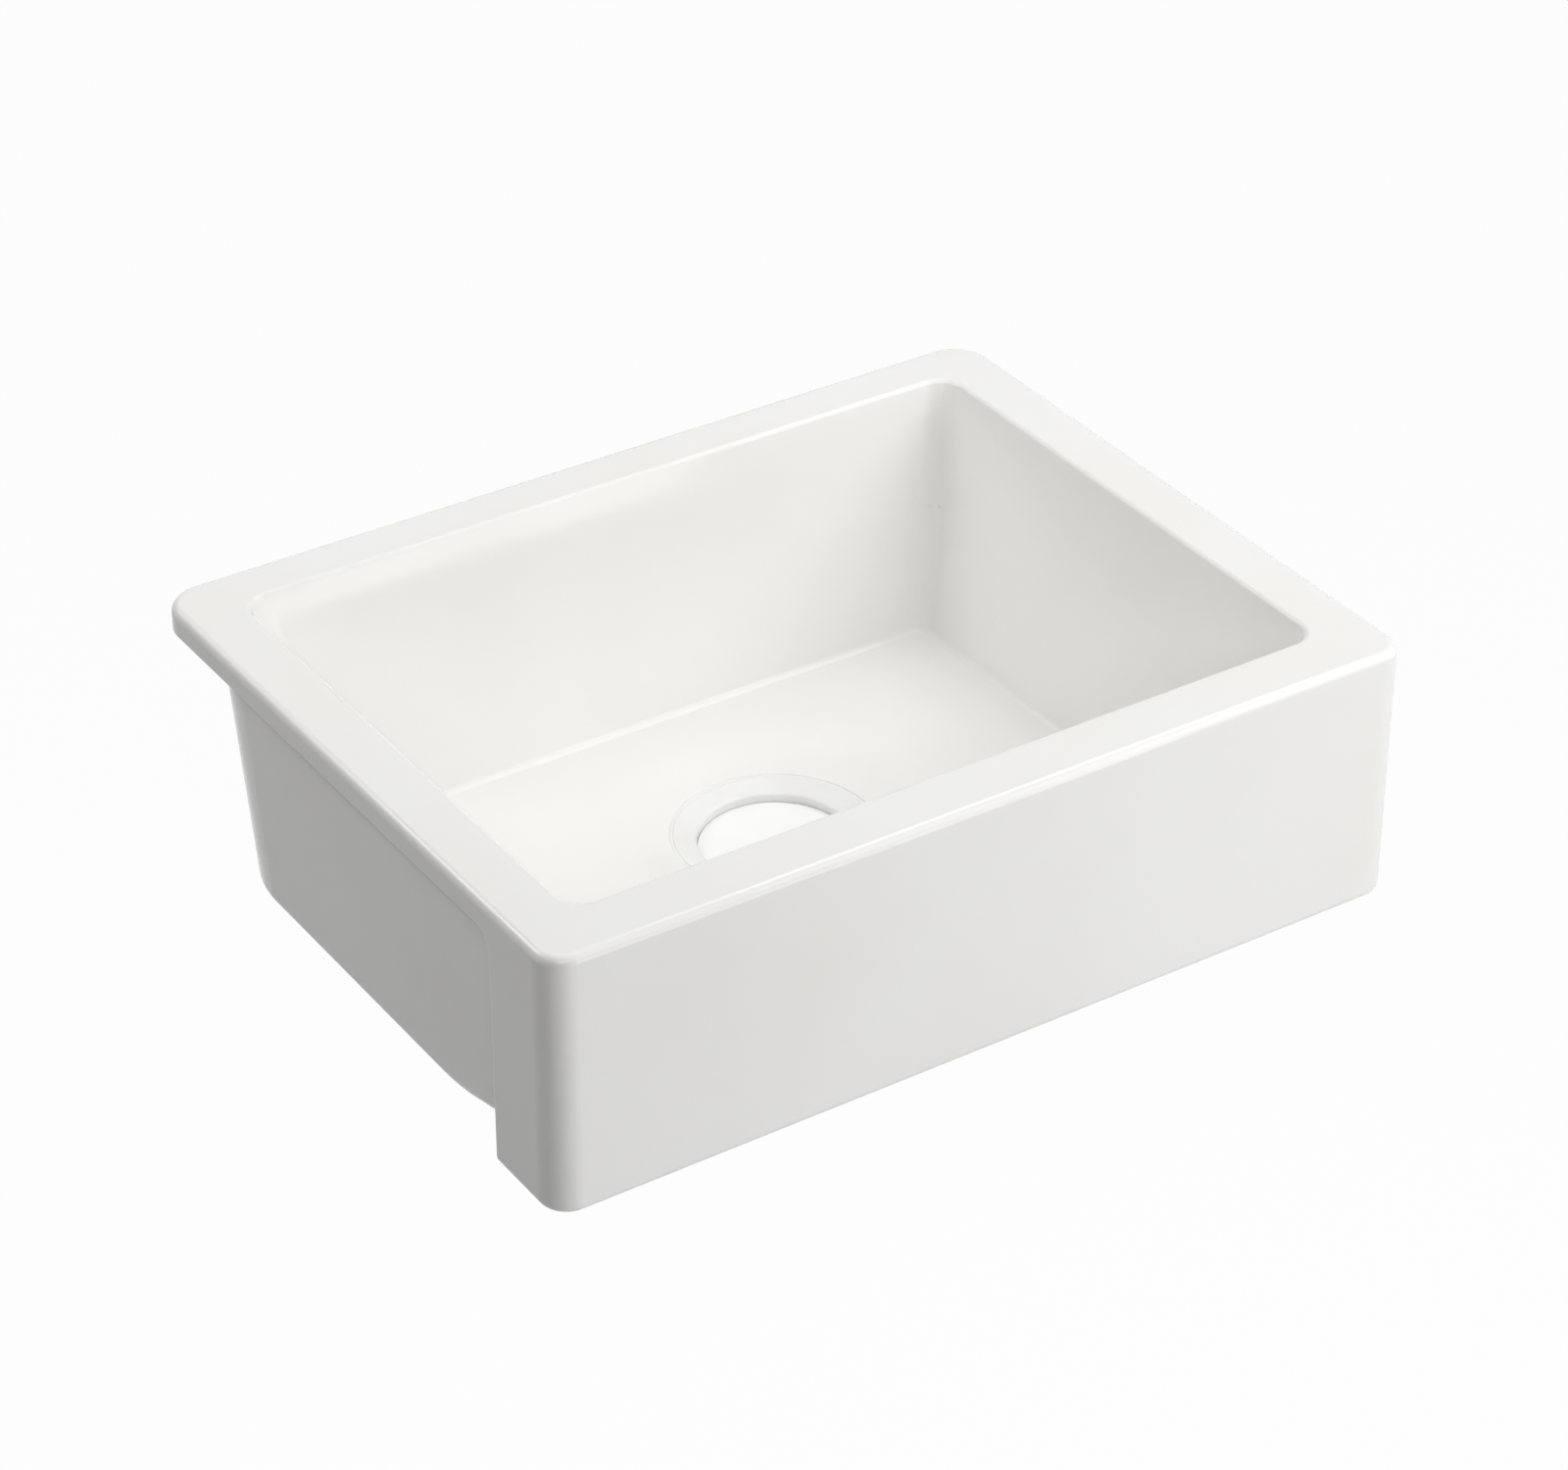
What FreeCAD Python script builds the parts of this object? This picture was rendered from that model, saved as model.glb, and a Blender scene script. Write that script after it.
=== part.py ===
"""Apron-front kitchen sink with one bowl and a basket strainer waste, in millimetres.

X runs along the apron, Y from the apron to the back and Z up. The origin is on the axis of the waste,
in the plane of the rim's underside, where the back of the rim rests on its support. The basin is even
about the origin, and the rim is wider in front of it.
"""
import FreeCAD
import Part

import math
import os

from FreeCAD import Vector

# Rim and apron
RIM_WIDTH = 620.0
RIM_DEPTH = 478.0
RIM_THICKNESS = 18.5
RIM_SIDE_LEDGE = 40.0
RIM_FRONT_LEDGE = 42.0
RIM_BACK_LEDGE = 36.0
RIM_BACK_CORNER = 26.0
RIM_TOP_ROUNDING = 6.0
RIM_UNDER_ROUNDING = 2.0
APRON_HEIGHT = 182.5
APRON_RETURN = 68.5
APRON_CORNER = 19.0
APRON_FOOT_ROUNDING = 6.0
APRON_RIM_FILLET = 14.0

# Basin, the hollow inside
BASIN_DEPTH = 157.0
BASIN_TAPER = 52.0
BASIN_TOP_CORNER = 17.0
BASIN_FLOOR_CORNER = 10.0
BASIN_FLOOR_FILLET = 5.0
BASIN_EDGE_ROUNDING = 3.5

# Bowl, the outside below the rim
FLOOR_THICKNESS = 20.0
BOWL_FRONT_SETBACK = 56.0
BOWL_SIDE_SETBACK = 2.5
BOWL_BACK_SETBACK = 20.0
BOWL_TAPER = 10.0
BOWL_BACK_CORNER = 84.0
BOWL_FOOT_ROUNDING = 8.0
BOWL_SLOPE_LENGTH = 78.0
BOWL_SLOPE_RISE = 20.0
BOWL_SLOPE_ROUNDING = 150.0
FOOT_WIDTH = 30.0
FOOT_FRONT_WIDTH = 26.0
UNDERSIDE_RECESS = 6.0

# Drain in the floor
DISH_RADIUS = 104.0
DISH_DROP = 4.0
DISH_ROUNDING = 160.0
RECESS_DEPTH = 7.5
RECESS_EDGE_ROUNDING = 1.2
PAD_MARGIN = 2.5

# Strainer body: flange, cup and outlet
FLANGE_WIDTH = 15.5
FLANGE_EDGE_THICKNESS = 5.8
FLANGE_EDGE_ROUNDING = 0.5
FLANGE_CROWN_WIDTH = 1.8
FLANGE_CROWN_DROP = 0.2
FLANGE_CROWN_ROUNDING = 8.0
FLANGE_INNER_THICKNESS = 1.9
FLANGE_LIP_ROUNDING = 2.0
CUP_BORE = 50.4
CUP_WALL = 2.2
CUP_THREAD_PITCH = 3.0
CUP_THREAD_HEIGHT = 1.5
CUP_THREAD_LENGTH = 24.0
LEDGE_DEPTH = 41.0
LEDGE_WIDTH = 4.0
LOWER_CUP_DEPTH = 44.0
LOWER_CUP_TAPER = 8.6
LOWER_CUP_ROUNDING = 6.0
OUTLET_BORE = 19.5
OUTLET_WALL = 3.2
OUTLET_LENGTH = 22.0
OUTLET_THREAD_PITCH = 2.4
OUTLET_THREAD_HEIGHT = 1.2
OUTLET_THREAD_LENGTH = 15.0

# Share of a thread's pitch that is flat at its crest
THREAD_FLAT = 0.2

# Rings and nut that clamp the strainer to the floor
FLANGE_SEAL_THICKNESS = 1.5
FLANGE_SEAL_LIP = 2.0
UNDER_GASKET_WIDTH = 17.0
UNDER_GASKET_THICKNESS = 4.0
FRICTION_RING_WIDTH = 15.0
FRICTION_RING_THICKNESS = 1.5
LOCK_NUT_WIDTH = 11.0
LOCK_NUT_HEIGHT = 15.0
LOCK_NUT_LUGS = 8
LOCK_NUT_LUG_WIDTH = 12.0
LOCK_NUT_LUG_REACH = 6.0
NUT_EDGE_ROUNDING = 1.2

# Tailpiece and its coupling
OUTLET_WASHER_THICKNESS = 2.0
TAILPIECE_RADIUS = 19.05
TAILPIECE_WALL = 1.6
TAILPIECE_LENGTH = 90.0
TAILPIECE_FLANGE_THICKNESS = 2.0
TAILPIECE_NECK_INSET = 0.4
TAILPIECE_NECK_MARGIN = 3.5
COUPLING_NUT_GRIP = 14.0
COUPLING_NUT_WALL = 4.0
COUPLING_NUT_LIP = 3.0
COUPLING_NUT_LUGS = 10
COUPLING_NUT_LUG_WIDTH = 6.0
COUPLING_NUT_LUG_REACH = 3.0

# Cover in the mouth of the strainer, on the knob
COVER_DROP = 5.8
COVER_THICKNESS = 3.0
COVER_EDGE_ROUNDING = 0.4
COVER_NOTCH_RADIUS = 9.0
COVER_SOCKET_WALL = 2.0
COVER_SOCKET_DEPTH = 8.0

# Basket with its guide, post, knob and stopper
BASKET_SHEET = 1.0
BASKET_TAPER = 8.0
BASKET_ROUNDING = 5.0
BASKET_HOLE_RADIUS = 2.1
BASKET_HOLE_SPACING = 8.6
BASKET_SLOTS = 20
BASKET_SLOT_WIDTH = 3.0
BASKET_SLOT_LENGTH = 11.0
BUSH_RADIUS = 6.8
BUSH_FLANGE_WIDTH = 3.4
BUSH_FLANGE_THICKNESS = 2.0
BUSH_HEIGHT = 12.0
STEM_RADIUS = 4.0
STEM_TIP_RADIUS = 3.0
STEM_TIP_LENGTH = 13.0
KNOB_BASE_RADIUS = 7.5
KNOB_BASE_HEIGHT = 4.0
KNOB_NECK_RADIUS = 5.2
KNOB_HEAD_RADIUS = 11.0
KNOB_HEAD_HEIGHT = 9.0
STOPPER_RAISE = 9.0
STOPPER_OVERLAP = 7.5
STOPPER_SEAL_THICKNESS = 4.0
STOPPER_PLATE_THICKNESS = 1.5
STOPPER_PLATE_INSET = 3.0
SCREW_RADIUS = 1.8
SCREW_LENGTH = 14.0
SCREW_HEAD_RADIUS = 5.0
SCREW_HEAD_HEIGHT = 3.0
SCREW_SLOT_WIDTH = 1.2
SCREW_SLOT_DEPTH = 1.0

# Clearances
HOLE_CLEARANCE = 1.3
RING_CLEARANCE = 0.6
NUT_CLEARANCE = 0.3
COVER_CLEARANCE = 0.4
SOCKET_CLEARANCE = 0.4
BASKET_RIM_CLEARANCE = 0.8
BASKET_WALL_CLEARANCE = 1.2
BUSH_CLEARANCE = 0.2
STEM_CLEARANCE = 0.35
TIP_CLEARANCE = 0.3
SCREW_CLEARANCE = 0.3
STOP_CLEARANCE = 0.5
CUT_MARGIN = 5.0

# Ends of the rim, with the basin even about the waste
RIM_FRONT_Y = (RIM_BACK_LEDGE - RIM_FRONT_LEDGE - RIM_DEPTH) / 2
RIM_BACK_Y = RIM_FRONT_Y + RIM_DEPTH

# Heights of the sink, worked out from the rim's underside at zero
RIM_TOP_Z = RIM_THICKNESS
APRON_FOOT_Z = RIM_TOP_Z - APRON_HEIGHT
FLOOR_Z = RIM_TOP_Z - BASIN_DEPTH
BOWL_FOOT_Z = FLOOR_Z - FLOOR_THICKNESS
DISH_Z = FLOOR_Z - DISH_DROP
SEAT_Z = DISH_Z - RECESS_DEPTH

# Heights of the waste, from the seat down
FLANGE_Z = SEAT_Z + FLANGE_SEAL_THICKNESS
LIP_Z = FLANGE_Z + FLANGE_INNER_THICKNESS
COVER_TOP_Z = LIP_Z - COVER_DROP
COVER_Z = COVER_TOP_Z - COVER_THICKNESS
LEDGE_Z = FLANGE_Z - LEDGE_DEPTH
CUP_FLOOR_Z = LEDGE_Z - LOWER_CUP_DEPTH
OUTLET_Z = CUP_FLOOR_Z - OUTLET_LENGTH
GASKET_Z = BOWL_FOOT_Z - UNDER_GASKET_THICKNESS
FRICTION_Z = GASKET_Z - FRICTION_RING_THICKNESS
LOCK_NUT_Z = FRICTION_Z - LOCK_NUT_HEIGHT
TAILPIECE_TOP_Z = OUTLET_Z - OUTLET_WASHER_THICKNESS
TAILPIECE_FLANGE_Z = TAILPIECE_TOP_Z - TAILPIECE_FLANGE_THICKNESS

# Heights of the basket, from the cup's floor up
STOPPER_PLATE_Z = CUP_FLOOR_Z + STOPPER_SEAL_THICKNESS
STEM_Z = STOPPER_PLATE_Z + STOPPER_PLATE_THICKNESS
BASKET_FLOOR_Z = STEM_Z + STOPPER_RAISE + STOP_CLEARANCE
BUSH_Z = BASKET_FLOOR_Z + BASKET_SHEET
BUSH_TOP_Z = BUSH_Z + BUSH_HEIGHT
KNOB_Z = BUSH_TOP_Z + STOP_CLEARANCE

# Radii of the waste
CUP_OUTSIDE = CUP_BORE + CUP_WALL
CUP_CREST = CUP_OUTSIDE + CUP_THREAD_HEIGHT
HOLE_RADIUS = CUP_CREST + HOLE_CLEARANCE
FLANGE_RADIUS = CUP_BORE + FLANGE_WIDTH
RECESS_RADIUS = FLANGE_RADIUS + FLANGE_SEAL_LIP
PAD_RADIUS = HOLE_RADIUS + UNDER_GASKET_WIDTH + PAD_MARGIN
LOWER_BORE = CUP_BORE - LEDGE_WIDTH
LOWER_FLOOR_BORE = LOWER_BORE - LOWER_CUP_TAPER
OUTLET_ROOT = OUTLET_BORE + OUTLET_WALL
OUTLET_CREST = OUTLET_ROOT + OUTLET_THREAD_HEIGHT
RING_BORE = CUP_CREST + RING_CLEARANCE
BASKET_RIM_RADIUS = CUP_BORE - BASKET_RIM_CLEARANCE
BASKET_RADIUS = LOWER_BORE - BASKET_WALL_CLEARANCE
BASKET_FLOOR_RADIUS = BASKET_RADIUS - BASKET_TAPER
COVER_RADIUS = CUP_BORE - COVER_CLEARANCE
BUSH_FLANGE_RADIUS = BUSH_RADIUS + BUSH_FLANGE_WIDTH
STOPPER_RADIUS = OUTLET_BORE + STOPPER_OVERLAP
SCREW_HOLE = SCREW_RADIUS + SCREW_CLEARANCE

UP = Vector(0, 0, 1)
ORIGIN = Vector(0, 0, 0)


def rounded_corner(before, corner, after, rounding):
    """Return the start, middle and end of the arc that rounds a corner of an outline."""
    back = (before - corner).normalize()
    ahead = (after - corner).normalize()
    half_angle = back.getAngle(ahead) / 2
    reach = rounding / math.tan(half_angle)
    inward = (back + ahead).normalize()
    middle = corner + inward * (rounding / math.sin(half_angle) - rounding)
    return corner + back * reach, middle, corner + ahead * reach


def outline(corners):
    """Return a closed wire through (point, rounding) corners, with an arc at each rounded one."""
    edges = []
    stops = []
    for index, (corner, rounding) in enumerate(corners):
        before = corners[index - 1][0]
        after = corners[(index + 1) % len(corners)][0]
        if rounding > 0:
            start, middle, end = rounded_corner(before, corner, after, rounding)
            edges.append(Part.Arc(start, middle, end).toShape())
            stops.append((start, end))
        else:
            stops.append((corner, corner))
    for index, (_, end) in enumerate(stops):
        start = stops[(index + 1) % len(stops)][0]
        if end.distanceToPoint(start) > 1e-6:
            edges.append(Part.makeLine(end, start))
    return Part.Wire(Part.__sortEdges__(edges))


def turned(corners):
    """Return the solid turned about Z from (radius, height, rounding) corners."""
    profile = outline([(Vector(radius, 0, height), rounding) for radius, height, rounding in corners])
    return Part.Face(profile).revolve(ORIGIN, UP, 360)


def ring(inner, outer, bottom, height):
    """Return a flat ring about Z."""
    top = bottom + height
    return turned([(inner, bottom, 0), (outer, bottom, 0), (outer, top, 0), (inner, top, 0)])


def thread_corners(root, crest, top, length, pitch):
    """Return the outline of a thread drawn as parallel ridges, from its top downwards."""
    corners = []
    for turn in range(int(length / pitch)):
        start = top - turn * pitch
        corners.append((root, start, 0))
        corners.append((crest, start - pitch * (1 - THREAD_FLAT) / 2, 0))
        corners.append((crest, start - pitch * (1 + THREAD_FLAT) / 2, 0))
    corners.append((root, top - int(length / pitch) * pitch, 0))
    return corners


def round_rectangle(half_width, front, back, corner, height):
    """Return a level rectangle with rounded corners, even about the YZ plane."""
    points = [(-half_width, front), (half_width, front), (half_width, back), (-half_width, back)]
    return outline([(Vector(x, y, height), corner) for x, y in points])


def edges_where(shape, test):
    """Return the edges of a shape whose bounding box passes a test."""
    return [edge for edge in shape.Edges if test(edge.BoundBox)]


def rim_and_apron():
    """Return the rim slab with the apron and its two returns."""
    side = RIM_WIDTH / 2
    front = RIM_FRONT_Y
    back = RIM_BACK_Y
    return_back = front + APRON_RETURN
    profile = outline([
        (Vector(-side, front, RIM_TOP_Z), 0),
        (Vector(-side, back, RIM_TOP_Z), 0),
        (Vector(-side, back, 0), 0),
        (Vector(-side, return_back, 0), APRON_RIM_FILLET),
        (Vector(-side, return_back, APRON_FOOT_Z), 0),
        (Vector(-side, front, APRON_FOOT_Z), 0),
    ])
    block = Part.Face(profile).extrude(Vector(RIM_WIDTH, 0, 0))

    def front_corner(box):
        return box.XLength < 1e-3 and box.YMax < front + 1e-3

    def back_corner(box):
        return box.XLength < 1e-3 and box.YMin > back - 1e-3

    def foot(box):
        return box.ZMax < APRON_FOOT_Z + 1e-3 and box.YMin < return_back - 1e-3

    block = block.makeFillet(APRON_CORNER, edges_where(block, front_corner))
    block = block.makeFillet(RIM_BACK_CORNER, edges_where(block, back_corner))
    block = block.makeFillet(APRON_FOOT_ROUNDING, edges_where(block, foot))
    top = edges_where(block, lambda box: box.ZMin > RIM_TOP_Z - 1e-3)
    block = block.makeFillet(RIM_TOP_ROUNDING, top)

    def under_rim(box):
        on_outline = box.XMin < -side + RIM_BACK_CORNER and box.XMax < 0
        on_outline = on_outline or (box.XMax > side - RIM_BACK_CORNER and box.XMin > 0)
        on_outline = on_outline or box.YMin > back - 1e-3
        return on_outline and abs(box.ZMax) < 1e-3 and box.YMin > return_back - 1e-3

    return block.makeFillet(RIM_UNDER_ROUNDING, edges_where(block, under_rim))


def bowl_outside():
    """Return the block of the bowl: tapered, sloped up to the apron, and recessed round the drain's pad."""
    half_width = RIM_WIDTH / 2 - BOWL_SIDE_SETBACK
    front = RIM_FRONT_Y + BOWL_FRONT_SETBACK
    back = RIM_BACK_Y - BOWL_BACK_SETBACK
    slope_start = front + BOWL_SLOPE_LENGTH

    def section(inset, height):
        return outline([
            (Vector(-half_width + inset, front, height), 0),
            (Vector(half_width - inset, front, height), 0),
            (Vector(half_width - inset, back - inset, height), BOWL_BACK_CORNER),
            (Vector(-half_width + inset, back - inset, height), BOWL_BACK_CORNER),
        ])

    block = Part.makeLoft([section(0, RIM_THICKNESS / 2), section(BOWL_TAPER, BOWL_FOOT_Z)], True, True)
    slope = outline([
        (Vector(-RIM_WIDTH, front - BOWL_SLOPE_LENGTH, BOWL_FOOT_Z - CUT_MARGIN), 0),
        (Vector(-RIM_WIDTH, back, BOWL_FOOT_Z - CUT_MARGIN), 0),
        (Vector(-RIM_WIDTH, back, BOWL_FOOT_Z), 0),
        (Vector(-RIM_WIDTH, slope_start, BOWL_FOOT_Z), BOWL_SLOPE_ROUNDING),
        (Vector(-RIM_WIDTH, front - BOWL_SLOPE_LENGTH, BOWL_FOOT_Z + 2 * BOWL_SLOPE_RISE), 0),
    ])
    block = block.cut(Part.Face(slope).extrude(Vector(2 * RIM_WIDTH, 0, 0)))

    def foot_edge(box):
        on_outline = box.YLength > 1e-3 or box.YMin > back - BOWL_TAPER - 1e-3
        return on_outline and box.ZMax < BOWL_FOOT_Z + BOWL_SLOPE_RISE + 1e-3

    block = block.makeFillet(BOWL_FOOT_ROUNDING, edges_where(block, foot_edge))

    recess_z = BOWL_FOOT_Z - CUT_MARGIN
    recess_height = CUT_MARGIN + UNDERSIDE_RECESS
    inset = BOWL_TAPER + FOOT_WIDTH
    recess = round_rectangle(
        half_width - inset, slope_start + FOOT_FRONT_WIDTH, back - inset, BOWL_BACK_CORNER - FOOT_WIDTH,
        recess_z,
    )
    recess = Part.Face(recess).extrude(UP * recess_height)
    pad = Part.makeCylinder(PAD_RADIUS, recess_height, UP * recess_z)
    return block.cut(recess.cut(pad))


def basin():
    """Return the hollow of the basin, from above the rim to the flat floor."""

    def section(height):
        share = (RIM_TOP_Z - height) / BASIN_DEPTH
        inset = BASIN_TAPER * share
        corner = BASIN_TOP_CORNER + (BASIN_FLOOR_CORNER - BASIN_TOP_CORNER) * share
        half_width = RIM_WIDTH / 2 - RIM_SIDE_LEDGE - inset
        front = RIM_FRONT_Y + RIM_FRONT_LEDGE + inset
        back = RIM_BACK_Y - RIM_BACK_LEDGE - inset
        return round_rectangle(half_width, front, back, corner, height)

    hollow = Part.makeLoft([section(RIM_TOP_Z + CUT_MARGIN), section(FLOOR_Z)], True, True)
    floor_edges = edges_where(hollow, lambda box: box.ZMax < FLOOR_Z + 1e-3)
    return hollow.makeFillet(BASIN_FLOOR_FILLET, floor_edges)


def drain_hollow():
    """Return the dish, the recess and the hole that are cut into the floor."""
    slope = DISH_DROP / (DISH_RADIUS - RECESS_RADIUS)
    edge = DISH_RADIUS + DISH_ROUNDING * slope
    return turned([
        (0, FLOOR_Z + CUT_MARGIN, 0),
        (edge, FLOOR_Z + CUT_MARGIN, 0),
        (edge, FLOOR_Z, 0),
        (DISH_RADIUS, FLOOR_Z, DISH_ROUNDING),
        (RECESS_RADIUS, DISH_Z, RECESS_EDGE_ROUNDING),
        (RECESS_RADIUS, SEAT_Z, 0),
        (HOLE_RADIUS, SEAT_Z, 0),
        (HOLE_RADIUS, BOWL_FOOT_Z - CUT_MARGIN, 0),
        (0, BOWL_FOOT_Z - CUT_MARGIN, 0),
    ])


def fireclay_bowl():
    """Return the casting: rim, apron, bowl and drain in one piece of fireclay."""
    casting = rim_and_apron().fuse(bowl_outside()).cut(basin())
    half_width = RIM_WIDTH / 2 - RIM_SIDE_LEDGE
    half_depth = RIM_BACK_Y - RIM_BACK_LEDGE

    def basin_edge(box):
        inside = abs(box.XMin) < half_width + 1 and abs(box.XMax) < half_width + 1
        inside = inside and abs(box.YMin) < half_depth + 1 and abs(box.YMax) < half_depth + 1
        return inside and box.ZMin > RIM_TOP_Z - 1e-3

    casting = casting.makeFillet(BASIN_EDGE_ROUNDING, edges_where(casting, basin_edge))
    return casting.cut(drain_hollow())


def flange_seal():
    """Return the soft ring under the strainer flange, with a lip that fills the joint round it."""
    lip_z = FLANGE_Z + FLANGE_EDGE_THICKNESS - FLANGE_EDGE_ROUNDING
    return turned([
        (RING_BORE, SEAT_Z, 0),
        (RECESS_RADIUS, SEAT_Z, 0),
        (RECESS_RADIUS, lip_z, 0),
        (FLANGE_RADIUS, lip_z, 0),
        (FLANGE_RADIUS, FLANGE_Z, 0),
        (RING_BORE, FLANGE_Z, 0),
    ])


def strainer_body():
    """Return the strainer: flange, threaded cup with a basket ledge, and threaded outlet."""
    edge_z = FLANGE_Z + FLANGE_EDGE_THICKNESS
    thread_top = BOWL_FOOT_Z + CUP_THREAD_PITCH
    outlet_thread_top = OUTLET_Z + OUTLET_THREAD_LENGTH
    corners = [
        (CUP_BORE, LIP_Z, FLANGE_LIP_ROUNDING),
        (CUP_BORE, LEDGE_Z, 0),
        (LOWER_BORE, LEDGE_Z, CUP_WALL / 2),
        (LOWER_FLOOR_BORE, CUP_FLOOR_Z, LOWER_CUP_ROUNDING),
        (OUTLET_BORE, CUP_FLOOR_Z, CUP_WALL / 2),
        (OUTLET_BORE, OUTLET_Z, 0),
        (OUTLET_ROOT, OUTLET_Z, 0),
    ]
    corners += reversed(thread_corners(
        OUTLET_ROOT, OUTLET_CREST, outlet_thread_top, OUTLET_THREAD_LENGTH, OUTLET_THREAD_PITCH
    )[:-1])
    corners += [
        (OUTLET_ROOT, CUP_FLOOR_Z - CUP_WALL, CUP_WALL),
        (LOWER_FLOOR_BORE + CUP_WALL, CUP_FLOOR_Z - CUP_WALL, LOWER_CUP_ROUNDING + CUP_WALL),
        (LOWER_BORE + CUP_WALL, LEDGE_Z - CUP_WALL, 0),
        (CUP_OUTSIDE, LEDGE_Z - CUP_WALL, CUP_WALL / 2),
    ]
    corners += reversed(thread_corners(
        CUP_OUTSIDE, CUP_CREST, thread_top, CUP_THREAD_LENGTH, CUP_THREAD_PITCH
    ))
    corners += [
        (CUP_OUTSIDE, FLANGE_Z, 0),
        (FLANGE_RADIUS, FLANGE_Z, 0),
        (FLANGE_RADIUS, edge_z, FLANGE_EDGE_ROUNDING),
        (FLANGE_RADIUS - FLANGE_CROWN_WIDTH, edge_z - FLANGE_CROWN_DROP, FLANGE_CROWN_ROUNDING),
    ]
    return turned(corners)


def under_gasket():
    """Return the thick rubber ring under the floor."""
    return ring(RING_BORE, HOLE_RADIUS + UNDER_GASKET_WIDTH, GASKET_Z, UNDER_GASKET_THICKNESS)


def friction_ring():
    """Return the slip ring between the rubber and the nut."""
    return ring(RING_BORE, HOLE_RADIUS + FRICTION_RING_WIDTH, FRICTION_Z, FRICTION_RING_THICKNESS)


def lugged_ring(outer, bottom, height, lugs, lug_width, lug_reach):
    """Return a disc with grip lugs round its edge, as the blank of a nut."""
    top = bottom + height
    blank = turned([
        (0, bottom, 0),
        (outer, bottom, NUT_EDGE_ROUNDING),
        (outer, top, NUT_EDGE_ROUNDING),
        (0, top, 0),
    ])
    lug = Part.makeBox(
        outer / 2 + lug_reach, lug_width, height - 2 * NUT_EDGE_ROUNDING,
        Vector(outer / 2, -lug_width / 2, bottom + NUT_EDGE_ROUNDING),
    )
    outer_edges = edges_where(lug, lambda box: box.XMin > outer + lug_reach - 1e-3)
    lug = lug.makeFillet(NUT_EDGE_ROUNDING, outer_edges)
    for index in range(lugs):
        turned_lug = lug.copy()
        turned_lug.rotate(ORIGIN, UP, index * 360 / lugs)
        blank = blank.fuse(turned_lug)
    return blank


def lock_nut():
    """Return the ring nut that clamps the strainer to the floor."""
    bore = CUP_CREST + NUT_CLEARANCE
    blank = lugged_ring(
        bore + LOCK_NUT_WIDTH, LOCK_NUT_Z, LOCK_NUT_HEIGHT,
        LOCK_NUT_LUGS, LOCK_NUT_LUG_WIDTH, LOCK_NUT_LUG_REACH,
    )
    return blank.cut(ring(0, bore, LOCK_NUT_Z - CUT_MARGIN, LOCK_NUT_HEIGHT + 2 * CUT_MARGIN))


def outlet_washer():
    """Return the flat washer between the outlet and the tailpiece."""
    return ring(OUTLET_BORE, OUTLET_ROOT, TAILPIECE_TOP_Z, OUTLET_WASHER_THICKNESS)


def tailpiece():
    """Return the flanged tube that carries the water on, with a slim neck where its nut sits."""
    end = TAILPIECE_TOP_Z - TAILPIECE_LENGTH
    neck = TAILPIECE_RADIUS - TAILPIECE_NECK_INSET
    neck_z = TAILPIECE_FLANGE_Z - COUPLING_NUT_LIP - TAILPIECE_NECK_MARGIN
    return turned([
        (TAILPIECE_RADIUS - TAILPIECE_WALL, TAILPIECE_TOP_Z, 0),
        (TAILPIECE_RADIUS - TAILPIECE_WALL, end, 0),
        (TAILPIECE_RADIUS, end, 0),
        (TAILPIECE_RADIUS, neck_z, 0),
        (neck, neck_z, 0),
        (neck, TAILPIECE_FLANGE_Z, 0),
        (OUTLET_ROOT, TAILPIECE_FLANGE_Z, 0),
        (OUTLET_ROOT, TAILPIECE_TOP_Z, 0),
    ])


def coupling_nut():
    """Return the nut that hooks under the tailpiece flange and grips the outlet thread."""
    bore = OUTLET_CREST + NUT_CLEARANCE
    bottom = TAILPIECE_FLANGE_Z - COUPLING_NUT_LIP
    height = OUTLET_Z + COUPLING_NUT_GRIP - bottom
    blank = lugged_ring(
        bore + COUPLING_NUT_WALL, bottom, height,
        COUPLING_NUT_LUGS, COUPLING_NUT_LUG_WIDTH, COUPLING_NUT_LUG_REACH,
    )
    hole = turned([
        (0, bottom - CUT_MARGIN, 0),
        (TAILPIECE_RADIUS + NUT_CLEARANCE, bottom - CUT_MARGIN, 0),
        (TAILPIECE_RADIUS + NUT_CLEARANCE, TAILPIECE_FLANGE_Z, 0),
        (bore, TAILPIECE_FLANGE_Z, 0),
        (bore, bottom + height + CUT_MARGIN, 0),
        (0, bottom + height + CUT_MARGIN, 0),
    ])
    return blank.cut(hole)


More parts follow.
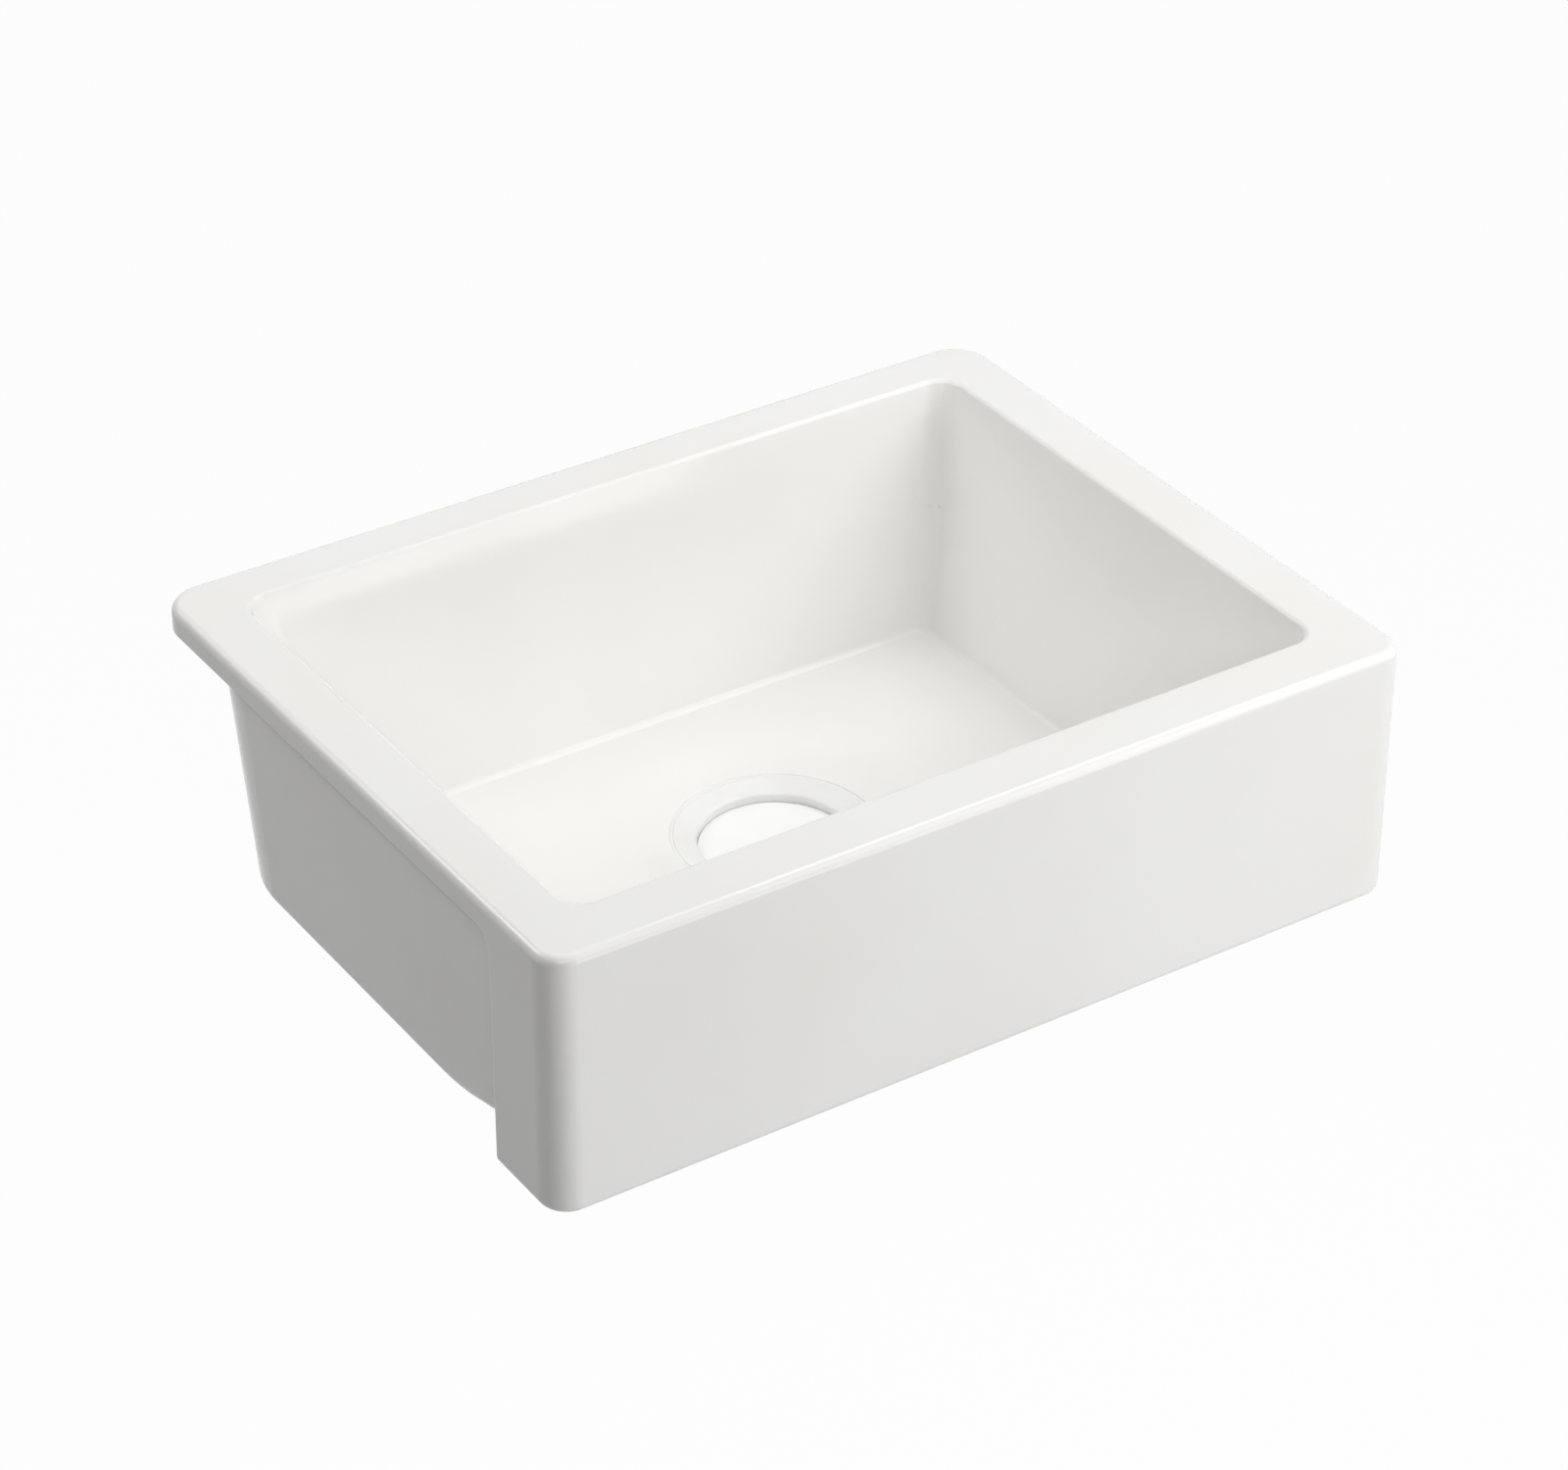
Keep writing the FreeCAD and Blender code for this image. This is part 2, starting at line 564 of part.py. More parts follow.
def basket_shell():
    """Return the pressed steel basket with its holes and slots."""
    rim_z = LEDGE_Z + BASKET_SHEET
    floor_top = BASKET_FLOOR_Z + BASKET_SHEET
    hub = BUSH_RADIUS + BUSH_CLEARANCE
    shell = turned([
        (hub, BASKET_FLOOR_Z, 0),
        (BASKET_FLOOR_RADIUS, BASKET_FLOOR_Z, BASKET_ROUNDING),
        (BASKET_RADIUS, LEDGE_Z, 0),
        (BASKET_RIM_RADIUS, LEDGE_Z, 0),
        (BASKET_RIM_RADIUS, rim_z, BASKET_SHEET / 2),
        (BASKET_RADIUS - BASKET_SHEET, rim_z, BASKET_SHEET),
        (BASKET_FLOOR_RADIUS - BASKET_SHEET, floor_top, BASKET_ROUNDING - BASKET_SHEET),
        (hub, floor_top, 0),
    ])
    cutters = []
    first_row = BUSH_FLANGE_RADIUS + BASKET_HOLE_SPACING / 2
    last_row = BASKET_FLOOR_RADIUS - BASKET_ROUNDING
    rows = int((last_row - first_row) / BASKET_HOLE_SPACING) + 1
    for row in range(rows):
        radius = first_row + row * BASKET_HOLE_SPACING
        count = int(2 * math.pi * radius / BASKET_HOLE_SPACING)
        hole = Part.makeCylinder(
            BASKET_HOLE_RADIUS, BASKET_SHEET + 2 * CUT_MARGIN, Vector(radius, 0, BASKET_FLOOR_Z - CUT_MARGIN)
        )
        cutters += around(hole, count)
    slot_z = (BASKET_FLOOR_Z + LEDGE_Z - BASKET_SLOT_LENGTH) / 2
    slot = Part.makeBox(
        BASKET_RIM_RADIUS, BASKET_SLOT_WIDTH, BASKET_SLOT_LENGTH,
        Vector(BASKET_FLOOR_RADIUS / 2, -BASKET_SLOT_WIDTH / 2, slot_z),
    )
    slot_ends = edges_where(slot, lambda box: box.XLength > BASKET_SLOT_LENGTH)
    slot = slot.makeFillet(BASKET_SLOT_WIDTH * 0.45, slot_ends)
    cutters += around(slot, BASKET_SLOTS)
    return shell.cut(cutters)


def around(shape, count):
    """Return copies of a shape spread evenly about Z."""
    copies = []
    for index in range(count):
        turned_copy = shape.copy()
        turned_copy.rotate(ORIGIN, UP, index * 360 / count)
        copies.append(turned_copy)
    return copies


def basket_bush():
    """Return the guide that stands in the middle of the basket's floor."""
    bore = STEM_RADIUS + STEM_CLEARANCE
    return turned([
        (bore, BASKET_FLOOR_Z, 0),
        (BUSH_RADIUS, BASKET_FLOOR_Z, 0),
        (BUSH_RADIUS, BUSH_Z, 0),
        (BUSH_FLANGE_RADIUS, BUSH_Z, 0),
        (BUSH_FLANGE_RADIUS, BUSH_Z + BUSH_FLANGE_THICKNESS, BUSH_FLANGE_THICKNESS / 4),
        (BUSH_RADIUS, BUSH_Z + BUSH_FLANGE_THICKNESS, BUSH_FLANGE_THICKNESS / 2),
        (BUSH_RADIUS, BUSH_TOP_Z, BUSH_FLANGE_THICKNESS / 4),
        (bore, BUSH_TOP_Z, 0),
    ])


def lift_stem():
    """Return the post, with a tip for the knob and a hole for the screw."""
    hole_top = CUP_FLOOR_Z + SCREW_LENGTH + SCREW_CLEARANCE
    return turned([
        (SCREW_HOLE, STEM_Z, 0),
        (STEM_RADIUS, STEM_Z, 0),
        (STEM_RADIUS, KNOB_Z, 0),
        (STEM_TIP_RADIUS, KNOB_Z, 0),
        (STEM_TIP_RADIUS, KNOB_Z + STEM_TIP_LENGTH, STEM_TIP_RADIUS / 6),
        (0, KNOB_Z + STEM_TIP_LENGTH, 0),
        (0, hole_top, 0),
        (SCREW_HOLE, hole_top, 0),
    ])


def lift_knob():
    """Return the knob, with a blind hole that takes the tip of the post."""
    top = COVER_Z
    head_z = top - KNOB_HEAD_HEIGHT
    bore = STEM_TIP_RADIUS + TIP_CLEARANCE
    bore_top = KNOB_Z + STEM_TIP_LENGTH + TIP_CLEARANCE
    return turned([
        (bore, KNOB_Z, 0),
        (KNOB_BASE_RADIUS, KNOB_Z, 0),
        (KNOB_BASE_RADIUS, KNOB_Z + KNOB_BASE_HEIGHT, KNOB_BASE_HEIGHT / 4),
        (KNOB_NECK_RADIUS, KNOB_Z + KNOB_BASE_HEIGHT, KNOB_BASE_HEIGHT / 4),
        (KNOB_NECK_RADIUS, head_z, KNOB_BASE_HEIGHT),
        (KNOB_HEAD_RADIUS, head_z, KNOB_BASE_HEIGHT / 4),
        (KNOB_HEAD_RADIUS, top, KNOB_BASE_HEIGHT),
        (0, top, 0),
        (0, bore_top, 0),
        (bore, bore_top, 0),
    ])


def drain_cover():
    """Return the cover that hides the basket, with a socket for the knob and a finger notch."""
    socket = KNOB_HEAD_RADIUS + SOCKET_CLEARANCE
    socket_z = COVER_Z - COVER_SOCKET_DEPTH
    cover = turned([
        (0, COVER_Z, 0),
        (socket, COVER_Z, 0),
        (socket, socket_z, 0),
        (socket + COVER_SOCKET_WALL, socket_z, COVER_SOCKET_WALL / 4),
        (socket + COVER_SOCKET_WALL, COVER_Z, COVER_SOCKET_WALL / 2),
        (COVER_RADIUS, COVER_Z, COVER_EDGE_ROUNDING),
        (COVER_RADIUS, COVER_TOP_Z, COVER_EDGE_ROUNDING),
        (0, COVER_TOP_Z, 0),
    ])
    notch = Part.makeCylinder(
        COVER_NOTCH_RADIUS, COVER_THICKNESS + 2 * CUT_MARGIN, Vector(0, -COVER_RADIUS, COVER_Z - CUT_MARGIN)
    )
    return cover.cut(notch)


def stopper_plate():
    """Return the disc that backs the rubber."""
    return ring(SCREW_HOLE, STOPPER_RADIUS - STOPPER_PLATE_INSET, STOPPER_PLATE_Z, STOPPER_PLATE_THICKNESS)


def stopper_seal():
    """Return the rubber disc that closes the outlet."""
    return turned([
        (SCREW_HOLE, CUP_FLOOR_Z, 0),
        (STOPPER_RADIUS, CUP_FLOOR_Z, STOPPER_SEAL_THICKNESS / 8),
        (STOPPER_RADIUS, STOPPER_PLATE_Z, STOPPER_SEAL_THICKNESS / 2),
        (SCREW_HOLE, STOPPER_PLATE_Z, 0),
    ])


def stem_screw():
    """Return the slotted screw that holds the stopper to the post."""
    head_z = CUP_FLOOR_Z - SCREW_HEAD_HEIGHT
    screw = turned([
        (0, head_z, 0),
        (SCREW_HEAD_RADIUS, head_z, SCREW_HEAD_HEIGHT / 3),
        (SCREW_HEAD_RADIUS, CUP_FLOOR_Z, 0),
        (SCREW_RADIUS, CUP_FLOOR_Z, 0),
        (SCREW_RADIUS, CUP_FLOOR_Z + SCREW_LENGTH, SCREW_RADIUS / 3),
        (0, CUP_FLOOR_Z + SCREW_LENGTH, 0),
    ])
    slot = Part.makeBox(
        4 * SCREW_HEAD_RADIUS, SCREW_SLOT_WIDTH, 2 * SCREW_SLOT_DEPTH,
        Vector(-2 * SCREW_HEAD_RADIUS, -SCREW_SLOT_WIDTH / 2, head_z - SCREW_SLOT_DEPTH),
    )
    return screw.cut(slot)


PARTS = (
    fireclay_bowl,
    flange_seal,
    strainer_body,
    under_gasket,
    friction_ring,
    lock_nut,
    outlet_washer,
    tailpiece,
    coupling_nut,
    basket_shell,
    basket_bush,
    lift_stem,
    lift_knob,
    drain_cover,
    stopper_plate,
    stopper_seal,
    stem_screw,
)


def main():
    """Build each piece and write it to a file with its name."""
    os.makedirs("parts", exist_ok=True)
    for build in PARTS:
        shape = build()
        if len(shape.Solids) == 1:
            shape = shape.Solids[0]
        print(build.__name__, len(shape.Solids), shape.isValid(), round(shape.Volume))
        shape.exportStep(f"parts/{build.__name__}.step")


main()
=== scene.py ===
"""Looks of a white apron-front kitchen sink with a basket strainer waste.

The solids of the sink stay as they are. This script gives each of them its finish, and sets up the
camera, the lights and the floor. Lengths are in metres, in the sink's own frame: X along the apron,
Y to the back, Z up, with the origin in the plane of the rim's underside.
"""
import logging
import math
from dataclasses import dataclass
from enum import Enum
from typing import Sequence

import bpy
from mathutils import Euler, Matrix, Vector

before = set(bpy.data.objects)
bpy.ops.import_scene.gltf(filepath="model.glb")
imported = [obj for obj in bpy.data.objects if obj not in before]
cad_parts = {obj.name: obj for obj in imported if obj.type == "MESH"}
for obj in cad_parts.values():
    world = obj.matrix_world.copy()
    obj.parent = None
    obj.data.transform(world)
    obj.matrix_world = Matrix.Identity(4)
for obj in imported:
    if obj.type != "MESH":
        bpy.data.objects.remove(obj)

LOG = logging.getLogger("kitchen_sink")

Colour = tuple[float, float, float, float]
Point = tuple[float, float, float]

# Parts of a noise's range from 0 to 1 that its values really fill
SOFT_LOW = 0.35
SOFT_HIGH = 0.65
WIDE_LOW = 0.3
WIDE_HIGH = 0.7


class SocketKind(Enum):
    """Kinds of sockets that the shader groups use."""

    COLOUR = "NodeSocketColor"
    VALUE = "NodeSocketFloat"


class Direction(Enum):
    """Sides of a shader group that a socket can be on."""

    IN = "INPUT"
    OUT = "OUTPUT"


class ShaderBuilder:
    """Adds nodes to one node tree and joins them."""

    def __init__(self, tree: bpy.types.NodeTree) -> None:
        """Keep the tree that the nodes go into.

        Args:
            tree: Node tree of a material, a world or a group.
        """
        self.tree = tree

    def add(self, kind: str, **settings: object) -> bpy.types.Node:
        """Add a node and set its own properties.

        Args:
            kind: Name of the node's type, such as ShaderNodeMath.
            settings: Properties of the node and their values.

        Returns:
            The new node.
        """
        node = self.tree.nodes.new(kind)
        for name, value in settings.items():
            setattr(node, name, value)
        return node

    def join(self, source: bpy.types.NodeSocket, target: bpy.types.NodeSocket) -> None:
        """Link an output socket to an input socket.

        Args:
            source: Output that gives the value.
            target: Input that takes it.
        """
        self.tree.links.new(source, target)

    def feed(self, target: bpy.types.NodeSocket, value: object) -> None:
        """Give an input socket a link where the value is a socket, and else the plain value.

        Args:
            target: Input to set.
            value: Socket, number or colour.
        """
        if isinstance(value, bpy.types.NodeSocket):
            self.join(value, target)
        else:
            target.default_value = value

    def math(self, operation: str, *values: object) -> bpy.types.NodeSocket:
        """Add a Math node.

        Args:
            operation: Name of the operation, such as MULTIPLY.
            values: Numbers or sockets for its inputs.

        Returns:
            The node's output.
        """
        node = self.add("ShaderNodeMath", operation=operation)
        for socket, value in zip(node.inputs, values):
            self.feed(socket, value)
        return node.outputs[0]

    def spread(
        self, value: object, low: object, high: object, start: object = 0.0, end: object = 1.0
    ) -> bpy.types.NodeSocket:
        """Map a value from one range to another and clamp it.

        Args:
            value: Socket to map.
            low: Lower end of the range that comes in.
            high: Upper end of the range that comes in.
            start: Result at the lower end.
            end: Result at the upper end.

        Returns:
            The mapped value.
        """
        node = self.add("ShaderNodeMapRange", clamp=True)
        for name, number in (
            ("Value", value), ("From Min", low), ("From Max", high), ("To Min", start), ("To Max", end)
        ):
            self.feed(node.inputs[name], number)
        return node.outputs["Result"]

    def mix(self, share: object, first: object, second: object) -> bpy.types.NodeSocket:
        """Mix two colours.

        Args:
            share: Share of the second colour.
            first: Colour at a share of 0.
            second: Colour at a share of 1.

        Returns:
            The mixed colour.
        """
        node = self.add("ShaderNodeMix", data_type="RGBA")
        self.feed(node.inputs["Factor"], share)
        self.feed(node.inputs["A"], first)
        self.feed(node.inputs["B"], second)
        return node.outputs["Result"]

    def noise(self, place: object, size: object, detail: float = 2.0) -> bpy.types.NodeSocket:
        """Add a noise whose lumps have about the given size.

        Args:
            place: Socket with the coordinates in metres.
            size: Width of a lump in metres.
            detail: Number of finer layers.

        Returns:
            The noise from 0 to 1.
        """
        node = self.add("ShaderNodeTexNoise")
        self.feed(node.inputs["Vector"], place)
        self.feed(node.inputs["Scale"], self.math("DIVIDE", 1.0, size))
        node.inputs["Detail"].default_value = detail
        return node.outputs["Fac"]

    def place(self) -> bpy.types.NodeSocket:
        """Find the point on the surface.

        Returns:
            The point in the part's own coordinates.
        """
        return self.add("ShaderNodeTexCoord").outputs["Object"]

    def group(self, tree: bpy.types.NodeTree, **values: object) -> bpy.types.Node:
        """Place a shader group and set its inputs.

        Args:
            tree: The group.
            values: Inputs by name, with underscores for spaces.

        Returns:
            The group's node.
        """
        node = self.add("ShaderNodeGroup", node_tree=tree)
        for name, value in values.items():
            self.feed(node.inputs[name.replace("_", " ").capitalize()], value)
        return node


class ShaderGroups:
    """Effects that several finishes share, each built once."""

    def __init__(self) -> None:
        """Build every group."""
        self.cloud = self._cloud()
        self.drift = self._drift()
        self.relief = self._relief()
        self.turning = self._turning()

    @staticmethod
    def _start(
        name: str, sockets: Sequence[tuple[str, Direction, SocketKind]]
    ) -> tuple[ShaderBuilder, bpy.types.Node, bpy.types.Node]:
        """Start a group with its sockets.

        Args:
            name: Name of the group.
            sockets: Name, direction and kind of each socket.

        Returns:
            A builder for the group, its input node and its output node.
        """
        tree = bpy.data.node_groups.new(name, "ShaderNodeTree")
        for label, direction, kind in sockets:
            tree.interface.new_socket(name=label, in_out=direction.value, socket_type=kind.value)
        build = ShaderBuilder(tree)
        return build, build.add("NodeGroupInput"), build.add("NodeGroupOutput")

    def _cloud(self) -> bpy.types.NodeTree:
        """Build the slow change between two close colours over a surface.

        Returns:
            The group.
        """
        build, inside, out = self._start("slow_colour_change", (
            ("Base", Direction.IN, SocketKind.COLOUR),
            ("Tint", Direction.IN, SocketKind.COLOUR),
            ("Size", Direction.IN, SocketKind.VALUE),
            ("Amount", Direction.IN, SocketKind.VALUE),
            ("Colour", Direction.OUT, SocketKind.COLOUR),
        ))
        lumps = build.noise(build.place(), inside.outputs["Size"], detail=3.0)
        share = build.math("MULTIPLY", build.spread(lumps, SOFT_LOW, SOFT_HIGH), inside.outputs["Amount"])
        build.join(build.mix(share, inside.outputs["Base"], inside.outputs["Tint"]), out.inputs["Colour"])
        return build.tree

    def _drift(self) -> bpy.types.NodeTree:
        """Build the slow change of roughness over a surface.

        Returns:
            The group.
        """
        build, inside, out = self._start("roughness_drift", (
            ("Size", Direction.IN, SocketKind.VALUE),
            ("Low", Direction.IN, SocketKind.VALUE),
            ("High", Direction.IN, SocketKind.VALUE),
            ("Roughness", Direction.OUT, SocketKind.VALUE),
        ))
        lumps = build.noise(build.place(), inside.outputs["Size"], detail=4.0)
        rough = build.spread(lumps, WIDE_LOW, WIDE_HIGH, inside.outputs["Low"], inside.outputs["High"])
        build.join(rough, out.inputs["Roughness"])
        return build.tree

    def _relief(self) -> bpy.types.NodeTree:
        """Build a fine and a broad unevenness added together.

        Returns:
            The group.
        """
        build, inside, out = self._start("two_scale_relief", (
            ("Fine size", Direction.IN, SocketKind.VALUE),
            ("Broad size", Direction.IN, SocketKind.VALUE),
            ("Broad share", Direction.IN, SocketKind.VALUE),
            ("Height", Direction.OUT, SocketKind.VALUE),
        ))
        place = build.place()
        fine = build.noise(place, inside.outputs["Fine size"], detail=1.0)
        broad = build.noise(place, inside.outputs["Broad size"], detail=0.0)
        share = inside.outputs["Broad share"]
        rest = build.math("MULTIPLY", fine, build.math("SUBTRACT", 1.0, share))
        height = build.math("ADD", rest, build.math("MULTIPLY", broad, share))
        build.join(height, out.inputs["Height"])
        return build.tree

    def _turning(self) -> bpy.types.NodeTree:
        """Build the rings that turning or polishing about Z leaves on metal.

        Returns:
            The group.
        """
        build, inside, out = self._start("turning_rings", (
            ("Pitch", Direction.IN, SocketKind.VALUE),
            ("Rings", Direction.OUT, SocketKind.VALUE),
        ))
        parts = build.add("ShaderNodeSeparateXYZ")
        build.join(build.place(), parts.inputs[0])
        radius = build.math("SQRT", build.math(
            "ADD",
            build.math("MULTIPLY", parts.outputs["X"], parts.outputs["X"]),
            build.math("MULTIPLY", parts.outputs["Y"], parts.outputs["Y"]),
        ))
        joined = build.add("ShaderNodeCombineXYZ")
        build.join(radius, joined.inputs["X"])
        build.join(parts.outputs["Z"], joined.inputs["Y"])
        rings = build.noise(joined.outputs[0], inside.outputs["Pitch"], detail=3.0)
        build.join(rings, out.inputs["Rings"])
        return build.tree


def start_material(name: str) -> tuple[bpy.types.Material, ShaderBuilder, bpy.types.Node]:
    """Start a material with a Principled BSDF.

    Args:
        name: Name of the material.

    Returns:
        The material, a builder for its nodes and its BSDF.
    """
    material = bpy.data.materials.new(name)
    material.use_nodes = True
    build = ShaderBuilder(material.node_tree)
    return material, build, material.node_tree.nodes["Principled BSDF"]


def add_bump(
    build: ShaderBuilder, bsdf: bpy.types.Node, height: bpy.types.NodeSocket, depth: float
) -> None:
    """Put a bump on a material.

    Args:
        build: Builder of the material.
        bsdf: Its BSDF.
        height: Height from 0 to 1.
        depth: Height of the bump in metres.
    """
    bump = build.add("ShaderNodeBump")
    bump.inputs["Strength"].default_value = 1.0
    bump.inputs["Distance"].default_value = depth
    build.join(height, bump.inputs["Height"])
    build.join(bump.outputs["Normal"], bsdf.inputs["Normal"])


@dataclass(frozen=True)
class GlazeFinish:
    """Gloss white glaze on fireclay, bare clay on the foot that stood in the kiln."""

    name: str = "white_glaze"
    white: Colour = (0.872, 0.868, 0.852, 1.0)
    cream: Colour = (0.852, 0.844, 0.82, 1.0)
    clay: Colour = (0.56, 0.47, 0.37, 1.0)
    cloud_size: float = 0.16
    gloss_low: float = 0.06
    gloss_high: float = 0.1
    mirror: float = 0.28
    clay_roughness: float = 0.85
    peel_size: float = 0.006
    swell_size: float = 0.09
    swell_share: float = 0.8
    relief_depth: float = 0.00012
    foot_height: float = -0.15
    foot_slope: float = -0.98
    foot_edge: float = 0.05
    ragged_size: float = 0.012
    ragged_reach: float = 0.3

    def build(self, groups: ShaderGroups) -> bpy.types.Material:
        """Make the material.

        Args:
            groups: Shared shader groups.

        Returns:
            The material.
        """
        material, build, bsdf = start_material(self.name)
        cloud = build.group(
            groups.cloud, base=self.white, tint=self.cream, size=self.cloud_size, amount=1.0
        )
        gloss = build.group(groups.drift, size=self.cloud_size, low=self.gloss_low, high=self.gloss_high)
        bare = self._bare_clay(build)
        colour = build.mix(bare, cloud.outputs["Colour"], self.clay)
        build.join(colour, bsdf.inputs["Base Color"])
        rough = build.spread(bare, 0.0, 1.0, gloss.outputs["Roughness"], self.clay_roughness)
        build.join(rough, bsdf.inputs["Roughness"])
        relief = build.group(
            groups.relief,
            fine_size=self.peel_size,
            broad_size=self.swell_size,
            broad_share=self.swell_share,
        )
        add_bump(build, bsdf, relief.outputs["Height"], self.relief_depth)
        bsdf.inputs["Specular IOR Level"].default_value = self.mirror
        return material

    def _bare_clay(self, build: ShaderBuilder) -> bpy.types.NodeSocket:
        """Mask the foot, with a ragged edge where the glaze stops.

        Args:
            build: Builder of the glaze's material.

        Returns:
            The mask, 1 on bare clay.
        """
        coordinates = build.add("ShaderNodeTexCoord")
        normal = build.add("ShaderNodeSeparateXYZ")
        place = build.add("ShaderNodeSeparateXYZ")
        build.join(coordinates.outputs["Normal"], normal.inputs[0])
        build.join(coordinates.outputs["Object"], place.inputs[0])
        ragged = build.noise(coordinates.outputs["Object"], self.ragged_size, detail=3.0)
        limit = build.math("MULTIPLY_ADD", ragged, self.ragged_reach, self.foot_slope)
        faces_down = build.spread(
            normal.outputs["Z"], limit, build.math("ADD", limit, self.foot_edge), 1.0, 0.0
        )
        low = build.math("LESS_THAN", place.outputs["Z"], self.foot_height)
        return build.math("MULTIPLY", faces_down, low)


@dataclass(frozen=True)
class PlasticFinish:
    """Moulded plastic with a faint unevenness."""

    name: str
    colour: Colour
    tint: Colour
    gloss_low: float
    gloss_high: float
    grain_size: float
    grain_depth: float
    cloud_size: float = 0.03
    gloss_size: float = 0.01
    swell_size: float = 0.02
    swell_share: float = 0.5

    def build(self, groups: ShaderGroups) -> bpy.types.Material:
        """Make the material.

        Args:
            groups: Shared shader groups.

        Returns:
            The material.
        """
        material, build, bsdf = start_material(self.name)
        cloud = build.group(
            groups.cloud, base=self.colour, tint=self.tint, size=self.cloud_size, amount=1.0
        )
        build.join(cloud.outputs["Colour"], bsdf.inputs["Base Color"])
        gloss = build.group(groups.drift, size=self.gloss_size, low=self.gloss_low, high=self.gloss_high)
        build.join(gloss.outputs["Roughness"], bsdf.inputs["Roughness"])
        relief = build.group(
            groups.relief,
            fine_size=self.grain_size,
            broad_size=self.swell_size,
            broad_share=self.swell_share,
        )
        add_bump(build, bsdf, relief.outputs["Height"], self.grain_depth)
        return material


@dataclass(frozen=True)
class SteelFinish:
    """Stainless steel with rings from turning and polishing."""

    name: str = "brushed_steel"
    colour: Colour = (0.62, 0.615, 0.605, 1.0)
    tint: Colour = (0.5, 0.495, 0.485, 1.0)
    pitch: float = 0.0004
    gloss_low: float = 0.2
    gloss_high: float = 0.36
    ring_depth: float = 0.000012
    ring_shade: float = 0.45
    cloud_size: float = 0.015
    cloud_share: float = 0.5

    def build(self, groups: ShaderGroups) -> bpy.types.Material:
        """Make the material.

        Args:
            groups: Shared shader groups.

        Returns:
            The material.
        """
        material, build, bsdf = start_material(self.name)
        rings = build.group(groups.turning, pitch=self.pitch).outputs["Rings"]
        cloud = build.group(
            groups.cloud, base=self.colour, tint=self.tint, size=self.cloud_size, amount=self.cloud_share
        )
        shade = build.spread(rings, WIDE_LOW, WIDE_HIGH, 0.0, self.ring_shade)
        build.join(build.mix(shade, cloud.outputs["Colour"], self.tint), bsdf.inputs["Base Color"])
        rough = build.spread(rings, WIDE_LOW, WIDE_HIGH, self.gloss_low, self.gloss_high)
        build.join(rough, bsdf.inputs["Roughness"])
        bsdf.inputs["Metallic"].default_value = 1.0
        add_bump(build, bsdf, rings, self.ring_depth)
        return material


@dataclass(frozen=True)
class SoftFinish:
    """Rubber, silicone or fibre with a faint grain."""

    name: str
    colour: Colour
    tint: Colour
    mottle_size: float
    roughness_low: float
    roughness_high: float
    grain_size: float
    grain_depth: float
    gloss_size: float = 0.004
    swell_size: float = 0.008
    swell_share: float = 0.3

    def build(self, groups: ShaderGroups) -> bpy.types.Material:
        """Make the material.

        Args:
            groups: Shared shader groups.

        Returns:
            The material.
        """
        material, build, bsdf = start_material(self.name)
        cloud = build.group(
            groups.cloud, base=self.colour, tint=self.tint, size=self.mottle_size, amount=1.0
        )
        build.join(cloud.outputs["Colour"], bsdf.inputs["Base Color"])
        gloss = build.group(
            groups.drift, size=self.gloss_size, low=self.roughness_low, high=self.roughness_high
        )
        build.join(gloss.outputs["Roughness"], bsdf.inputs["Roughness"])
        relief = build.group(
            groups.relief,
            fine_size=self.grain_size,
            broad_size=self.swell_size,
            broad_share=self.swell_share,
        )
        add_bump(build, bsdf, relief.outputs["Height"], self.grain_depth)
        return material


WHITE_PLASTIC = PlasticFinish(
    name="white_plastic",
    colour=(0.85, 0.848, 0.838, 1.0),
    tint=(0.82, 0.815, 0.8, 1.0),
    gloss_low=0.16,
    gloss_high=0.26,
    grain_size=0.0012,
    grain_depth=0.00001,
)
COVER_PLASTIC = PlasticFinish(
    name="cover_plastic",
    colour=(0.95, 0.95, 0.945, 1.0),
    tint=(0.93, 0.93, 0.925, 1.0),
    gloss_low=0.12,
    gloss_high=0.2,
    grain_size=0.0012,
    grain_depth=0.000005,
)
GREY_PLASTIC = PlasticFinish(
    name="grey_plastic",
    colour=(0.66, 0.66, 0.65, 1.0),
    tint=(0.6, 0.6, 0.59, 1.0),
    gloss_low=0.38,
    gloss_high=0.55,
    grain_size=0.0006,
    grain_depth=0.00003,
)
BLACK_RUBBER = SoftFinish(
    name="black_rubber",
    colour=(0.018, 0.018, 0.019, 1.0),
    tint=(0.035, 0.034, 0.033, 1.0),
    mottle_size=0.006,
    roughness_low=0.55,
    roughness_high=0.8,
    grain_size=0.0005,
    grain_depth=0.00004,
)
WHITE_SILICONE = SoftFinish(
    name="white_silicone",
    colour=(0.84, 0.838, 0.825, 1.0),
    tint=(0.81, 0.805, 0.785, 1.0),
    mottle_size=0.004,
    roughness_low=0.35,
    roughness_high=0.5,
    grain_size=0.0009,
    grain_depth=0.00003,
)
RED_FIBRE = SoftFinish(
    name="red_fibre",
    colour=(0.2, 0.065, 0.035, 1.0),
    tint=(0.12, 0.035, 0.02, 1.0),
    mottle_size=0.003,
    roughness_low=0.6,
    roughness_high=0.85,
    grain_size=0.0006,
    grain_depth=0.00006,
)


@dataclass
class Dressing:
    """Nodes of one sub-assembly and the finish that each of them gets."""

    name: str
    finishes: dict[str, bpy.types.Material]

    def dress(self, nodes: dict[str, bpy.types.Object]) -> None:
        """Give each node its finish.

        Args:
            nodes: Objects of the solids by name.
        """
        for node, material in self.finishes.items():
            mesh = nodes[node].data
            mesh.materials.clear()
            mesh.materials.append(material)
            LOG.info("%s: %s has %s", self.name, node, material.name)


